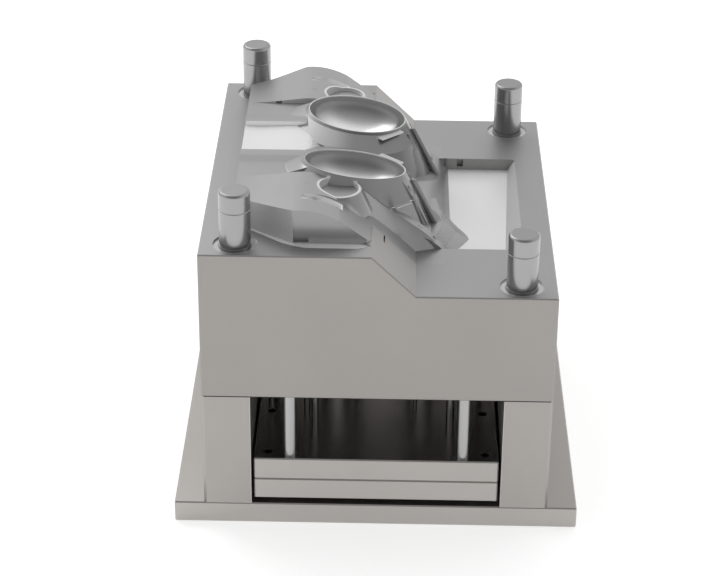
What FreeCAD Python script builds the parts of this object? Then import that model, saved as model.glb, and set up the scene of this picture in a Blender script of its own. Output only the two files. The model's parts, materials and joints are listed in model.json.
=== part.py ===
# Moving half of an injection mould for a left and a right headlamp part.
# Millimetres. Z is up, in the direction of the mould's opening. X runs across the mould, Y to its back.
# The origin is at the middle of the clamp plate's underside.

import FreeCAD
import Part
import math
import os

from FreeCAD import Matrix, Rotation, Vector

# Mould base, plan sizes
base_width = 750.0
base_depth = 900.0
clamp_overhang = 65.0
spacer_width = 104.0
ejector_side_gap = 6.0
ejector_end_gap = 2.0

# Mould base, stack heights
clamp_thickness = 50.0
stop_height = 13.0
ejector_base_thickness = 50.0
retainer_thickness = 52.0
ejector_stroke = 100.0
stroke_reserve = 55.0
low_land_height = 250.0
high_land_height = 340.0
plate_edge_chamfer = 2.5
spacer_edge_chamfer = 6.0

# Sloped step between the high land and the low land
step_top_x = -15.0
step_bottom_x = 78.0

# Guide pins
pin_radius = 33.0
pin_inset_x = 75.0
pin_inset_y = 55.0
pin_reach = 124.0
pin_shoulder = 3.0
pin_head_step = 6.0
pin_head_height = 15.0
pin_tip_round = 7.0
pin_ring_radius = 47.0
pin_ring_depth = 4.0
oil_groove_depth = 1.0
oil_groove_width = 3.0
oil_groove_drop = 42.0
pin_undercut_depth = 1.0

# Return pins and ejector guide posts
return_pin_radius = 14.5
return_pin_inset_x = 84.0
return_pin_inset_y = 25.0
post_radius = 16.0
post_inset_x = 49.0
post_place_y = 140.0
post_seat = 25.0
bush_wall = 8.0
bush_flange = 5.0
bush_flange_height = 8.0
running_gap = 0.04
drill_gap = 1.0
pin_foot_radius_extra = 3.5
pin_foot_height = 8.0

# Support pillars and stop buttons
pillar_radius = 32.0
pillar_place_x = 95.0
pillar_place_y = 118.0
pillar_gap = 3.0
stop_radius = 20.0
stop_spigot_radius = 8.0
stop_spigot_length = 15.0
stop_inset_x = 56.0
stop_inset_y = 90.0

# Screws with cylindrical heads and hexagon sockets: shank radius, head radius, head height, socket width
screw_m24 = (12.0, 18.0, 24.0, 19.0)
screw_m16 = (8.0, 12.0, 16.0, 14.0)
screw_m12 = (6.0, 9.0, 12.0, 10.0)
head_chamfer_share = 0.06
socket_share = 0.55
head_clearance = 1.0
head_sink = 1.0
clamp_bolt_inset_x = 37.0
clamp_bolt_inset_y = 120.0
clamp_bolt_thread = 36.0
insert_screw_thread = 26.0
plate_screw_inset_x = 35.0
plate_screw_inset_y = 32.0
plate_screw_spacing = 168.0
plate_screw_thread = 24.0
pillar_screw_thread = 26.0
dowel_radius = 10.0
dowel_length = 80.0
dowel_inset_y = 220.0
dowel_edge = 25.0

# Machine and lifting interfaces
knockout_radius = 30.0
lift_hole_radius = 18.0
lift_hole_depth = 55.0

# Core inserts, plan sizes measured from the middle plane between the two lamps
insert_left_wall = 67.0
insert_right_wall = 64.0
insert_end_wall = 66.0
insert_notch_x = -19.0
insert_shelf_x = 142.0
insert_shelf_y = 300.0
window_half_depth = 230.0
ridge_line_y = 226.0
hump_root = 140.0
dome_edge_y = 196.0
corner_start_run = 41.0
corner_start_y = 323.0
corner_flank_y = 300.0
corner_end_run = 128.0
insert_corner_round = 12.0
insert_depth_below_low = 130.0
over_cut = 5.0
margin = 1.0
same_place = 1e-6
relief_width = 26.0
relief_depth = 3.0
relief_corner_share = 0.45
relief_end_share = 0.65

# Heights on the core inserts, above the low land
wing_rise = 150.0
wing_swell = 2.0
crest_rise = 163.0
crest_x = -165.0
crest_run = 42.0
crest_ease = 4.0
crest_fall = 6.0
ridge_below_crest = 1.0
recess_below_crest = 11.0
hump_end_rise = 141.0
hump_end_x = -84.0
lip_rise = 158.0
lip_inner_y = 75.0
lip_top_width = 29.0
lip_slope_width = 21.0
lip_right_x = -168.0
valley_rise = 148.0
valley_foot_x = 156.0
window_drop = 28.0
window_wall_front = 38.0
window_wall_middle = 27.0
window_wall_back = 16.0

# Reflector bowl in each lamp, an oval tilted two ways
bowl_x = -56.5
bowl_y = 134.0
bowl_rise = 154.0
bowl_half_length = 109.0
bowl_half_width = 81.0
bowl_depth = 62.0
bowl_lip = 2.5
bowl_fall_angle = 7.0
bowl_roll_angle = 4.8

# Dome that carries the bowl
dome_mid_x = -60.0
dome_mid_y = 127.0
dome_mid_rise = 106.0
dome_mid_half_length = 148.0
dome_mid_half_width = 106.0
dome_mid_angle = 10.0
dome_foot_x = -35.0
dome_foot_y = 120.0
dome_foot_rise = 0.0
dome_foot_half_length = 184.0
dome_foot_half_width = 114.0
dome_foot_angle = 17.0

# Skirt that spreads from the bowl's rim to the valley
skirt_x = -69.0
skirt_y = 134.0
skirt_rise = 123.0
skirt_half_length = 146.0
skirt_half_width = 145.0
skirt_angle = 10.0
skirt_top_drop = 4.0
skirt_foot_drop = 80.0
skirt_foot_spread = 30.0
skirt_side_y = 175.0

# Round recess and slot on each hump
ring_x = -88.0
ring_y = 247.0
ring_radius = 42.0
ring_floor_rise = 143.0
ring_rim_width = 6.0
ring_rim_rise = 150.0
ring_rim_round = 3.6
ring_skirt = 24.0
ring_skirt_height = 48.0
slot_start_x = -165.0
slot_length = 88.0
slot_y = 314.0
slot_width = 24.0
slot_depth = 5.0
slot_clear_height = 30.0
slot_groove_width = 4.0
slot_groove_depth = 12.0
slot_fall_angle = 18.0
pry_notch_width = 32.0
pry_notch_height = 12.0
pry_notch_depth = 10.0

# Three round ridges down the steep end of each lamp: the middle one, and one on each side of it
ridge_y = 134.0
ridge_radius = 7.0
ridge_top_x = 71.0
ridge_top_rise = 114.0
ridge_foot_x = 137.0
ridge_foot_rise = -17.0
side_ridge_step_x = 12.0
side_ridge_step_y = 30.0
side_ridge_foot_step_x = 20.0
side_ridge_foot_step_y = 18.0

# Two thin level fins on each lamp's flanks, from one place to another on the flank
valley_fin_x = (-2.0, 45.5)
valley_fin_y = (40.0, 85.0)
valley_fin_rise = 132.0
hump_fin_x = (32.0, 64.5)
hump_fin_y = (210.0, 183.0)
hump_fin_rise = 87.0
fin_thickness = 2.5
fin_reach = 6.0
fin_root = 14.0

# Apron at the foot of the front lamp: three plan outlines, from its foot on the window's floor to its top
apron_foot_x = (160.0, 172.0, 190.0, 206.0, 214.0)
apron_foot_y = (-4.0, -44.0, -76.0, -104.0, -132.0)
apron_foot_tail_x = (196.0, 170.0, 150.0, 100.0, 100.0)
apron_foot_tail_y = (-158.0, -196.0, -226.0, -226.0, -4.0)
apron_waist_x = (138.0, 144.0, 151.0, 160.0, 166.0)
apron_waist_y = (-14.0, -48.0, -78.0, -104.0, -126.0)
apron_waist_tail_x = (160.0, 148.0, 134.0, 100.0, 100.0)
apron_waist_tail_y = (-156.0, -190.0, -216.0, -216.0, -14.0)
apron_top_x = (124.0, 127.0, 131.0, 134.0, 136.0)
apron_top_y = (-20.0, -50.0, -78.0, -100.0, -120.0)
apron_top_tail_x = (134.0, 128.0, 118.0, 100.0, 100.0)
apron_top_tail_y = (-150.0, -180.0, -205.0, -205.0, -20.0)
apron_waist_height = 17.0
apron_height = 46.0
apron_sink = 10.0

# Small cuts in the core plate
window_notch_x = 184.0
window_notch_width = 14.0
window_notch_height = 20.0
window_notch_depth = 12.0
window_notch_drop = 2.0
ramp_mark_x = 10.0
ramp_mark_y = -315.0
ramp_mark_width = 3.0
ramp_mark_length = 34.0
ramp_mark_depth = 8.0

# Profile of the ridge between the outer band and the dome, right of the round recess:
# place, rise, and fall outwards
shoulder_x = (0.0, 43.0, 78.0, 108.0, 128.0, 150.0)
shoulder_rise = (105.0, 75.0, 50.0, 26.0, 2.0, -28.0)
shoulder_fall = (76.0, 150.0, 200.0, 230.0, 230.0, 230.0)
ridge_fall = 1.0
recess_fall = 6.0
recess_end_fall = 32.0

# Profile of the valley's bed between the lamps, right of its level part: place, and fall below that part
valley_x = (-165.0, -114.0, -56.5, 0.0, 60.0, 100.0, 130.0)
valley_fall = (4.0, 25.0, 46.0, 74.0, 108.0, 124.0, 144.0)
valley_level_end_x = -215.0

# Ejector pins of one lamp: place across, place from the middle plane, and radius. The last is on the wing.
ejector_pin_x = (-137.0, 161.0, 85.0, -44.0, -157.0)
ejector_pin_y = (310.0, 313.0, 214.0, 142.0, 250.0)
ejector_pin_radius = (8.0, 9.0, 5.0, 8.0, 7.0)
wing_pin_inset = 70.0
wing_pin_y = 200.0
wing_pin_radius = 8.0
tip_gap_height = 60.0

# Screws of one core insert: place across and place from the middle plane, and the outer ones' edge distance
insert_screw_x = (-220.0, -60.0, 40.0)
insert_screw_y = (290.0, 320.0, 50.0)
outer_screw_inset = 56.0
outer_screw_y = 60.0
far_screw_y = 190.0

# Derived heights
clamp_top = clamp_thickness
ejector_bottom = clamp_top + stop_height
ejector_middle = ejector_bottom + ejector_base_thickness
ejector_top = ejector_middle + retainer_thickness
spacer_top = ejector_top + ejector_stroke + stroke_reserve
low_land = spacer_top + low_land_height
high_land = spacer_top + high_land_height
insert_bottom = low_land - insert_depth_below_low
window_floor = low_land - window_drop

# Derived screw seats and lengths
clamp_bolt_seat = screw_m24[2] + head_sink
clamp_bolt_length = spacer_top + clamp_bolt_thread - clamp_bolt_seat
pillar_screw_seat = screw_m12[2] + head_sink
pillar_screw_length = clamp_top + pillar_screw_thread - pillar_screw_seat
insert_screw_seat = spacer_top + screw_m16[2] + head_sink
insert_screw_length = insert_bottom + insert_screw_thread - insert_screw_seat
plate_screw_seat = ejector_top - screw_m12[2] - head_sink
plate_screw_length = plate_screw_seat - ejector_middle + plate_screw_thread
lift_hole_height = spacer_top + low_land_height / 2

# Derived plan sizes
half_width = base_width / 2
half_depth = base_depth / 2
clamp_half_width = half_width + clamp_overhang
spacer_inner = half_width - spacer_width
ejector_half_width = spacer_inner - ejector_side_gap
ejector_half_depth = half_depth - ejector_end_gap
pin_place_x = half_width - pin_inset_x
pin_place_y = half_depth - pin_inset_y
return_pin_x = spacer_inner - return_pin_inset_x
return_pin_y = half_depth - return_pin_inset_y
post_place_x = spacer_inner - post_inset_x
stop_place_x = spacer_inner - stop_inset_x
stop_rows_y = (stop_inset_y - half_depth, 0.0, half_depth - stop_inset_y)
clamp_bolt_x = half_width - clamp_bolt_inset_x
clamp_bolt_rows_y = (clamp_bolt_inset_y - half_depth, 0.0, half_depth - clamp_bolt_inset_y)
plate_screw_x = spacer_inner - plate_screw_inset_x
plate_screw_end_y = half_depth - plate_screw_inset_y
plate_screw_middle_y = plate_screw_end_y - plate_screw_spacing
plate_screw_rows_y = (-plate_screw_end_y, -plate_screw_middle_y, plate_screw_middle_y, plate_screw_end_y)
dowel_x = spacer_inner + dowel_edge
dowel_rows_y = (dowel_inset_y - half_depth, half_depth - dowel_inset_y)
insert_left_x = insert_left_wall - half_width
insert_right_x = half_width - insert_right_wall
insert_half_depth = half_depth - insert_end_wall
corner_start_x = insert_left_x + corner_start_run
corner_end_x = insert_left_x + corner_end_run
wing_pin_x = insert_left_x + wing_pin_inset
ejector_pins = tuple(zip(ejector_pin_x, ejector_pin_y, ejector_pin_radius)) + (
    (wing_pin_x, wing_pin_y, wing_pin_radius),)
insert_screws = tuple(zip(insert_screw_x, insert_screw_y)) + (
    (insert_left_x + outer_screw_inset, outer_screw_y),
    (insert_right_x - outer_screw_inset, outer_screw_y),
    (insert_right_x - outer_screw_inset, far_screw_y),
)

# Derived guide pin sizes: the pressed shank and the head in the core plate
pin_shank_radius = pin_radius + pin_shoulder
pin_head_radius = pin_shank_radius + pin_head_step


def block(x0, x1, y0, y1, z0, z1):
    """A box between two opposite corners."""
    return Part.makeBox(x1 - x0, y1 - y0, z1 - z0, Vector(x0, y0, z0))


def rod(x, y, z0, z1, radius):
    """An upright cylinder."""
    return Part.makeCylinder(radius, z1 - z0, Vector(x, y, z0))


def mirrored(shape):
    """The same shape on the other side of the middle plane between the lamps."""
    return shape.mirror(Vector(0, 0, 0), Vector(0, 1, 0))


def polygon_prism(points, z0, z1):
    """An upright prism over a closed plan outline."""
    corners = [Vector(x, y, z0) for x, y in points]
    wire = Part.makePolygon(corners + corners[:1])
    return Part.Face(wire).extrude(Vector(0, 0, z1 - z0))


def upright_edges(shape, chosen):
    """The vertical edges of a shape whose plan position passes the test."""
    found = []
    for edge in shape.Edges:
        if len(edge.Vertexes) != 2:
            continue
        a = edge.Vertexes[0].Point
        b = edge.Vertexes[1].Point
        if abs(a.x - b.x) < same_place and abs(a.y - b.y) < same_place and chosen(a.x, a.y):
            found.append(edge)
    return found


def profile_wire(y, curve, straight, bottom):
    """A closed outline in a plane across Y: a smooth curve, then straight runs, then down and back."""
    spline = Part.BSplineCurve()
    spline.interpolate(Points=[Vector(x, y, z) for x, z in curve], Parameters=[x for x, _ in curve])
    edges = [spline.toShape()]
    path = [curve[-1]] + list(straight) + [(straight[-1][0] if straight else curve[-1][0], bottom)]
    path = path + [(curve[0][0], bottom), curve[0]]
    for (xa, za), (xb, zb) in zip(path, path[1:]):
        edges.append(Part.LineSegment(Vector(xa, y, za), Vector(xb, y, zb)).toShape())
    return Part.Wire(edges)


def profile_slab(curve, straight, bottom, y0, y1):
    """The profile drawn out along Y."""
    return Part.Face(profile_wire(y0, curve, straight, bottom)).extrude(Vector(0, y1 - y0, 0))


def socket_screw(x, y, seat, length, size, up):
    """A cylinder-head screw. Its head's underside is at seat, and its shank points up or down."""
    shank_radius, head_radius, head_height, socket_width = size
    shank = Part.makeCylinder(shank_radius, length, Vector(x, y, seat))
    head = Part.makeCylinder(head_radius, head_height, Vector(x, y, seat - head_height))
    head = head.makeChamfer(head_height * head_chamfer_share, [head.Edges[2]])
    corners = []
    for i in range(7):
        angle = math.radians(60 * i)
        reach = socket_width / math.sqrt(3)
        corners.append(Vector(x + reach * math.cos(angle), y + reach * math.sin(angle), seat - head_height))
    socket = Part.Face(Part.makePolygon(corners)).extrude(Vector(0, 0, head_height * socket_share))
    screw = shank.fuse(head).cut(socket).removeSplitter()
    if not up:
        screw.rotate(Vector(x, y, seat), Vector(1, 0, 0), 180)
    return screw


def screw_hole(x, y, seat, length, size, up, mouth):
    """The counterbore and hole that a socket screw sits in, open at the mouth height."""
    shank_radius, head_radius, head_height, _ = size
    bore_radius = head_radius + head_clearance
    if up:
        counterbore = rod(x, y, mouth, seat, bore_radius)
        hole = rod(x, y, seat, seat + length, shank_radius)
    else:
        counterbore = rod(x, y, seat, mouth, bore_radius)
        hole = rod(x, y, seat - length, seat, shank_radius)
    return counterbore.fuse(hole)


def fused(shapes):
    """One solid from several that touch or overlap, with the lines between them kept."""
    result = shapes[0]
    for shape in shapes[1:]:
        result = result.fuse(shape)
    return result


def drilled(shape, cutters):
    """A shape with a list of cutters taken out."""
    return shape.cut(Part.Compound(cutters))


def write(node, shapes):
    """One STEP file for a node, from one solid or a group of separate solids."""
    solids = []
    for shape in shapes:
        solids.extend(shape.Solids)
    result = solids[0] if len(solids) == 1 else Part.Compound(solids)
    result.exportStep("parts/" + node + ".step")
    print(node, len(solids), round(result.Volume / 1000.0, 1), result.isValid())


def land_at(x):
    """Height of the parting face at a place across the mould."""
    if x <= step_top_x:
        return high_land
    if x >= step_bottom_x:
        return low_land
    share = (x - step_top_x) / (step_bottom_x - step_top_x)
    return high_land + share * (low_land - high_land)


def four_places(x, y):
    """The four mirrored places of a piece, numbered front left, front right, back left, back right."""
    return ((-x, -y), (x, -y), (-x, y), (x, y))


def insert_outline():
    """Plan outline of the front core insert below the parting face."""
    return (
        (insert_left_x, 0.0),
        (insert_left_x, -corner_flank_y),
        (corner_start_x, -corner_start_y),
        (corner_end_x, -insert_half_depth),
        (insert_notch_x, -insert_half_depth),
        (insert_notch_x, -insert_shelf_y),
        (insert_shelf_x, -insert_shelf_y),
        (insert_shelf_x, -window_half_depth),
        (insert_right_x, -window_half_depth),
        (insert_right_x, 0.0),
    )


def insert_prism(z0, z1):
    """The front insert's outline as an upright prism with rounded corners."""
    prism = polygon_prism(insert_outline(), z0, z1)
    corners = upright_edges(prism, lambda x, y: y < -margin)
    return prism.makeFillet(insert_corner_round, corners)


def insert_surround():
    """Everything outside the front insert's outline, as one block with the insert's shape taken out."""
    top = high_land + crest_rise
    around = block(-half_width, half_width, -half_depth, half_depth, clamp_top, top)
    return around.cut(insert_prism(insert_bottom, top))


def hump_curve():
    """Left part of the hump's profile: the wing, the crest and its start down to the step."""
    wing = low_land + wing_rise
    return (
        (insert_left_x - over_cut, wing),
        (corner_start_x, wing + wing_swell),
        (crest_x - crest_run, low_land + crest_rise - crest_ease),
        (crest_x, low_land + crest_rise),
        (crest_x + crest_run, low_land + crest_rise - crest_fall),
        (hump_end_x, low_land + hump_end_rise),
    )


def outer_hump():
    """The high band along the front of the lamp, level along Y, which runs down into the sloped step."""
    down = ((step_top_x, high_land), (step_bottom_x, low_land), (insert_shelf_x + over_cut, low_land))
    band = profile_slab(hump_curve(), down, insert_bottom, -insert_half_depth, -window_half_depth)
    inner = profile_slab(hump_curve(), down[:1], insert_bottom, -window_half_depth, -dome_edge_y)
    return band.fuse(inner)


def inner_hump():
    """The ridge between the outer band and the dome. It stays level to the round recess, then falls."""
    crest = (
        (insert_left_x - over_cut, wing_rise),
        (corner_start_x, wing_rise + wing_swell),
        (crest_x - crest_run, crest_rise - crest_ease),
        (crest_x, crest_rise - ridge_below_crest),
        (ring_x, crest_rise - recess_below_crest),
        (ring_x + ring_radius, hump_end_rise + ridge_below_crest),
    ) + tuple(zip(shoulder_x, shoulder_rise))
    fall = (ridge_fall,) * 4 + (recess_fall, recess_end_fall) + shoulder_fall
    near_points = [(x, low_land + rise) for x, rise in crest]
    far_points = [(x, low_land + rise - drop) for (x, rise), drop in zip(crest, fall)]
    inner_wire = profile_wire(-dome_edge_y, near_points, (), insert_bottom - hump_root)
    near_wire = profile_wire(-ridge_line_y, near_points, (), insert_bottom - hump_root)
    far_wire = profile_wire(-insert_shelf_y, far_points, (), insert_bottom - hump_root)
    strip = Part.makeLoft([inner_wire, near_wire], True, True)
    return strip.fuse(Part.makeLoft([near_wire, far_wire], True, True))


def wing():
    """The flat wing on the left, beside the middle valley, with its raised lip along the valley."""
    plate = block(insert_left_x - over_cut, crest_x, -window_half_depth, -lip_inner_y - lip_top_width,
                  insert_bottom, low_land + wing_rise)
    top = low_land + lip_rise
    low = low_land + wing_rise
    slope_start = -lip_inner_y - lip_top_width
    section = [
        Vector(insert_left_x - over_cut, -lip_inner_y, insert_bottom),
        Vector(insert_left_x - over_cut, -lip_inner_y, top),
        Vector(insert_left_x - over_cut, slope_start, top),
        Vector(insert_left_x - over_cut, slope_start - lip_slope_width, low),
        Vector(insert_left_x - over_cut, slope_start - lip_slope_width, insert_bottom),
    ]
    face = Part.Face(Part.makePolygon(section + section[:1]))
    return plate.fuse(face.extrude(Vector(lip_right_x - insert_left_x + over_cut, 0, 0)))


def valley_bed():
    """The bed between and around the domes: level on the left, then down to the window's floor."""
    curve = ((insert_left_x - over_cut, 0.0), (valley_level_end_x, 0.0)) + tuple(zip(valley_x, valley_fall))
    points = [(x, low_land + valley_rise - fall) for x, fall in curve]
    points.append((valley_foot_x, window_floor))
    return profile_slab(points, ((insert_right_x + over_cut, window_floor),), insert_bottom,
                        -window_half_depth, 0.0)


def ellipse_wire(x, y, z, half_length, half_width, fall, roll):
    """A closed oval, turned down to the right and up towards the lamp's outside."""
    oval = Part.Ellipse(Vector(0, 0, 0), half_length, half_width).toShape()
    turn = Rotation(Vector(0, 1, 0), fall).multiply(Rotation(Vector(1, 0, 0), -roll))
    oval.Placement = FreeCAD.Placement(Vector(x, y, z), turn)
    return Part.Wire([oval])


def dome():
    """The body that carries the reflector bowl, with a shallow flank at the valley and a steep outer end."""
    rim = ellipse_wire(bowl_x, -bowl_y, low_land + bowl_rise, bowl_half_length + bowl_lip,
                       bowl_half_width + bowl_lip, bowl_fall_angle, bowl_roll_angle)
    middle = ellipse_wire(dome_mid_x, -dome_mid_y, low_land + dome_mid_rise, dome_mid_half_length,
                          dome_mid_half_width, dome_mid_angle, 0.0)
    foot = ellipse_wire(dome_foot_x, -dome_foot_y, low_land + dome_foot_rise, dome_foot_half_length,
                        dome_foot_half_width, dome_foot_angle, 0.0)
    return Part.makeLoft([rim, middle, foot], True, True)


def skirt():
    """The flank that spreads from the bowl's rim to the valley, on the valley's side of the lamp."""
    rim = ellipse_wire(bowl_x, -bowl_y, low_land + bowl_rise - skirt_top_drop, bowl_half_length + bowl_lip,
                       bowl_half_width + bowl_lip, bowl_fall_angle, bowl_roll_angle)
    edge = ellipse_wire(skirt_x, -skirt_y, low_land + skirt_rise, skirt_half_length, skirt_half_width,
                        skirt_angle, 0.0)
    foot = ellipse_wire(skirt_x, -skirt_y, low_land + skirt_rise - skirt_foot_drop,
                        skirt_half_length + skirt_foot_spread, skirt_half_width + skirt_foot_spread,
                        skirt_angle, 0.0)
    body = Part.makeLoft([rim, edge, foot], True, True)
    outside = block(-half_width, half_width, -half_depth, -skirt_side_y, insert_bottom,
                    high_land + crest_rise)
    return body.cut(outside)


def bowl():
    """The hollow of the reflector: half an ellipsoid below the rim, and clear space above it."""
    ball = Part.makeSphere(1.0)
    stretch = Matrix()
    stretch.scale(Vector(bowl_half_length, bowl_half_width, bowl_depth))
    hollow = ball.transformGeometry(stretch)
    turn = Rotation(Vector(0, 1, 0), bowl_fall_angle).multiply(Rotation(Vector(1, 0, 0), -bowl_roll_angle))
    hollow.Placement = FreeCAD.Placement(Vector(bowl_x, -bowl_y, low_land + bowl_rise), turn)
    return hollow


def ring_boss():
    """The low boss with a rounded rim round the recess on the hump."""
    top = low_land + ring_rim_rise
    reach = ring_radius + ring_rim_width
    foot = Vector(ring_x, -ring_y, top - ring_skirt_height)
    boss = Part.makeCone(reach + ring_skirt, reach, ring_skirt_height, foot)
    upper = [edge for edge in boss.Edges if edge.BoundBox.ZMin > top - margin]
    return boss.makeFillet(ring_rim_round, upper)


def ring_recess():
    """The round recess itself."""
    return rod(ring_x, -ring_y, low_land + ring_floor_rise, high_land + crest_rise, ring_radius)


def slot(groove_side):
    """The sloping slot on the hump, with a narrow deeper groove along one side."""
    pocket = block(0.0, slot_length, -slot_width / 2, slot_width / 2, -slot_depth, slot_clear_height)
    edge = groove_side * (slot_width - slot_groove_width) / 2
    groove = block(0.0, slot_length, edge - slot_groove_width / 2, edge + slot_groove_width / 2,
                   -slot_groove_depth, slot_depth)
    cutter = pocket.fuse(groove)
    turn = Rotation(Vector(0, 1, 0), slot_fall_angle)
    start = Vector(slot_start_x, -slot_y, low_land + crest_rise)
    cutter.Placement = FreeCAD.Placement(start, turn)
    return cutter


def pry_notch():
    """The small notch at the foot of the front wall, beside the corner."""
    return block(corner_end_x, corner_end_x + pry_notch_width, -insert_half_depth - margin,
                 -insert_half_depth + pry_notch_depth, high_land, high_land + pry_notch_height)


def ridge(step_x, step_y, foot_step_x, foot_step_y):
    """One round ridge down the lamp's steep end, with a ball at its top, a step from the middle ridge."""
    start = Vector(ridge_top_x - step_x, -ridge_y + step_y, low_land + ridge_top_rise)
    end = Vector(ridge_foot_x - foot_step_x, -ridge_y + foot_step_y, low_land + ridge_foot_rise)
    bar = Part.makeCylinder(ridge_radius, (end - start).Length, start, end - start)
    return bar.fuse(Part.makeSphere(ridge_radius, start))


def ridges():
    """The middle ridge and one on each side of it."""
    shapes = [ridge(0.0, 0.0, 0.0, 0.0)]
    for side in (-1, 1):
        shapes.append(ridge(side_ridge_step_x, side * side_ridge_step_y, side_ridge_foot_step_x,
                            side * side_ridge_foot_step_y))
    return shapes


def fin(xs, ys, rise, side):
    """A thin level fin on a flank. Side is 1 where it points to the valley, and -1 where it points away."""
    start = Vector(xs[0], -ys[0], low_land + rise)
    end = Vector(xs[1], -ys[1], low_land + rise)
    run = end - start
    outward = Vector(run.y, -run.x, 0.0).normalize() * math.copysign(1.0, -run.x * side)
    corners = [
        start - outward * fin_root,
        start + outward * fin_reach,
        end + outward * fin_reach,
        end - outward * fin_root,
    ]
    return Part.Face(Part.makePolygon(corners + corners[:1])).extrude(Vector(0, 0, fin_thickness))


def fins():
    """The fin on the valley's side and the one on the hump's side."""
    return [
        fin(valley_fin_x, valley_fin_y, valley_fin_rise, 1),
        fin(hump_fin_x, hump_fin_y, hump_fin_rise, -1),
    ]


def apron_outline(xs, ys, tail_xs, tail_ys, z):
    """One level outline of the apron: a smooth curve to the right, closed by straight runs."""
    curve = Part.BSplineCurve()
    curve.interpolate([Vector(x, y, z) for x, y in zip(xs, ys)])
    path = [(xs[-1], ys[-1])] + list(zip(tail_xs, tail_ys)) + [(xs[0], ys[0])]
    corners = [Vector(x, y, z) for x, y in path]
    lines = [Part.LineSegment(a, b).toShape() for a, b in zip(corners, corners[1:])]
    return Part.Wire([curve.toShape()] + lines)


def apron():
    """The hollow-curved skirt on the window's floor at the foot of the front lamp."""
    sections = [
        apron_outline(apron_foot_x, apron_foot_y, apron_foot_tail_x, apron_foot_tail_y,
                      window_floor - apron_sink),
        apron_outline(apron_waist_x, apron_waist_y, apron_waist_tail_x, apron_waist_tail_y,
                      window_floor + apron_waist_height),
        apron_outline(apron_top_x, apron_top_y, apron_top_tail_x, apron_top_tail_y,
                      window_floor + apron_height),
    ]
    return Part.makeLoft(sections, True, True)


def window_wall(y0, inner0, y1, inner1):
    """A piece of the window's sloping right wall between two planes across Y."""
    wires = []
    for y, inner in ((y0, inner0), (y1, inner1)):
        corners = [
            Vector(inner, y, window_floor),
            Vector(insert_right_x, y, low_land),
            Vector(insert_right_x, y, insert_bottom),
            Vector(inner, y, insert_bottom),
        ]
        wires.append(Part.makePolygon(corners + corners[:1]))
    return Part.makeLoft(wires, True, True)


def lamp(groove_side, wall_front, wall_middle):
    """One lamp's core on the front side of the middle plane. Its window wall has a width at each end."""
    hump = fused([outer_hump(), inner_hump(), ring_boss()]).removeSplitter()
    hump = drilled(hump, [ring_recess(), slot(groove_side), pry_notch()])
    wall = window_wall(-window_half_depth, insert_right_x - wall_front, 0.0, insert_right_x - wall_middle)
    whole = fused([valley_bed(), hump, wing(), dome(), skirt(), wall] + ridges() + fins())
    return drilled(whole, [insert_surround()])


def core_insert(side):
    """One core insert, before its screw threads and ejector pin bores are made."""
    if side < 0:
        body = lamp(-1, window_wall_front, window_wall_middle).fuse(apron())
        return drilled(body, [bowl()])
    return mirrored(drilled(lamp(1, window_wall_back, window_wall_middle), [bowl()]))


def pin_bores(side):
    """Bores for the ejector pins in one insert and in the plate under it."""
    bores = []
    for x, y, radius in ejector_pins:
        bores.append(rod(x, side * y, spacer_top - margin, high_land + crest_rise, radius + running_gap))
    return bores


def insert_threads(side):
    """Tapped holes in the underside of one insert."""
    end = insert_bottom + insert_screw_thread
    return [rod(x, side * y, insert_bottom, end, screw_m16[0]) for x, y in insert_screws]


def core_plate():
    """The core plate with its stepped parting face, the insert pockets and every hole in it."""
    outline = (
        (-half_width, spacer_top),
        (-half_width, high_land),
        (step_top_x, high_land),
        (step_bottom_x, low_land),
        (half_width, low_land),
        (half_width, spacer_top),
    )
    corners = [Vector(x, -half_depth, z) for x, z in outline]
    face = Part.Face(Part.makePolygon(corners + corners[:1]))
    plate = face.extrude(Vector(0, base_depth, 0))
    plate = plate.makeChamfer(plate_edge_chamfer, [edge for edge in plate.Edges if not on_step(edge)])
    cutters = [window_notch(), ramp_mark()]
    for side in (-1, 1):
        pocket = insert_prism(insert_bottom, high_land + margin)
        relief = relief_groove()
        if side > 0:
            pocket = mirrored(pocket)
            relief = mirrored(relief)
        cutters.extend([pocket, relief])
        for x, y in insert_screws:
            cutters.append(screw_hole(x, side * y, insert_screw_seat, insert_screw_length, screw_m16, True,
                                      spacer_top))
        cutters.extend(pin_bores(side))
    for x, y in four_places(pin_place_x, pin_place_y):
        top = land_at(x)
        cutters.append(rod(x, y, spacer_top, top, pin_shank_radius))
        cutters.append(rod(x, y, spacer_top, spacer_top + pin_head_height, pin_head_radius))
        cutters.append(rod(x, y, top - pin_ring_depth, top, pin_ring_radius))
    for x, y in four_places(return_pin_x, return_pin_y):
        cutters.append(rod(x, y, spacer_top, high_land, return_pin_radius + running_gap))
    for x, y in four_places(post_place_x, post_place_y):
        cutters.append(rod(x, y, spacer_top, spacer_top + post_seat, post_radius))
    for x in (-clamp_bolt_x, clamp_bolt_x):
        for y in clamp_bolt_rows_y:
            cutters.append(rod(x, y, spacer_top, spacer_top + clamp_bolt_thread, screw_m24[0]))
    for side in (-1, 1):
        start = Vector(side * (half_width + margin), 0.0, lift_hole_height)
        cutters.append(Part.makeCylinder(lift_hole_radius, lift_hole_depth + margin, start,
                                         Vector(-side, 0, 0)))
    return drilled(plate, cutters)


def on_step(edge):
    """True for the two edges along the top and the bottom of the sloped step."""
    box = edge.BoundBox
    return box.YLength > margin and step_top_x - margin < box.XMin and box.XMax < step_bottom_x + margin


def window_notch():
    """A small dark notch in the back wall of the window."""
    return block(window_notch_x - window_notch_width / 2, window_notch_x + window_notch_width / 2,
                 window_half_depth - margin, window_half_depth + window_notch_depth,
                 low_land - window_notch_height, low_land - window_notch_drop)


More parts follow.
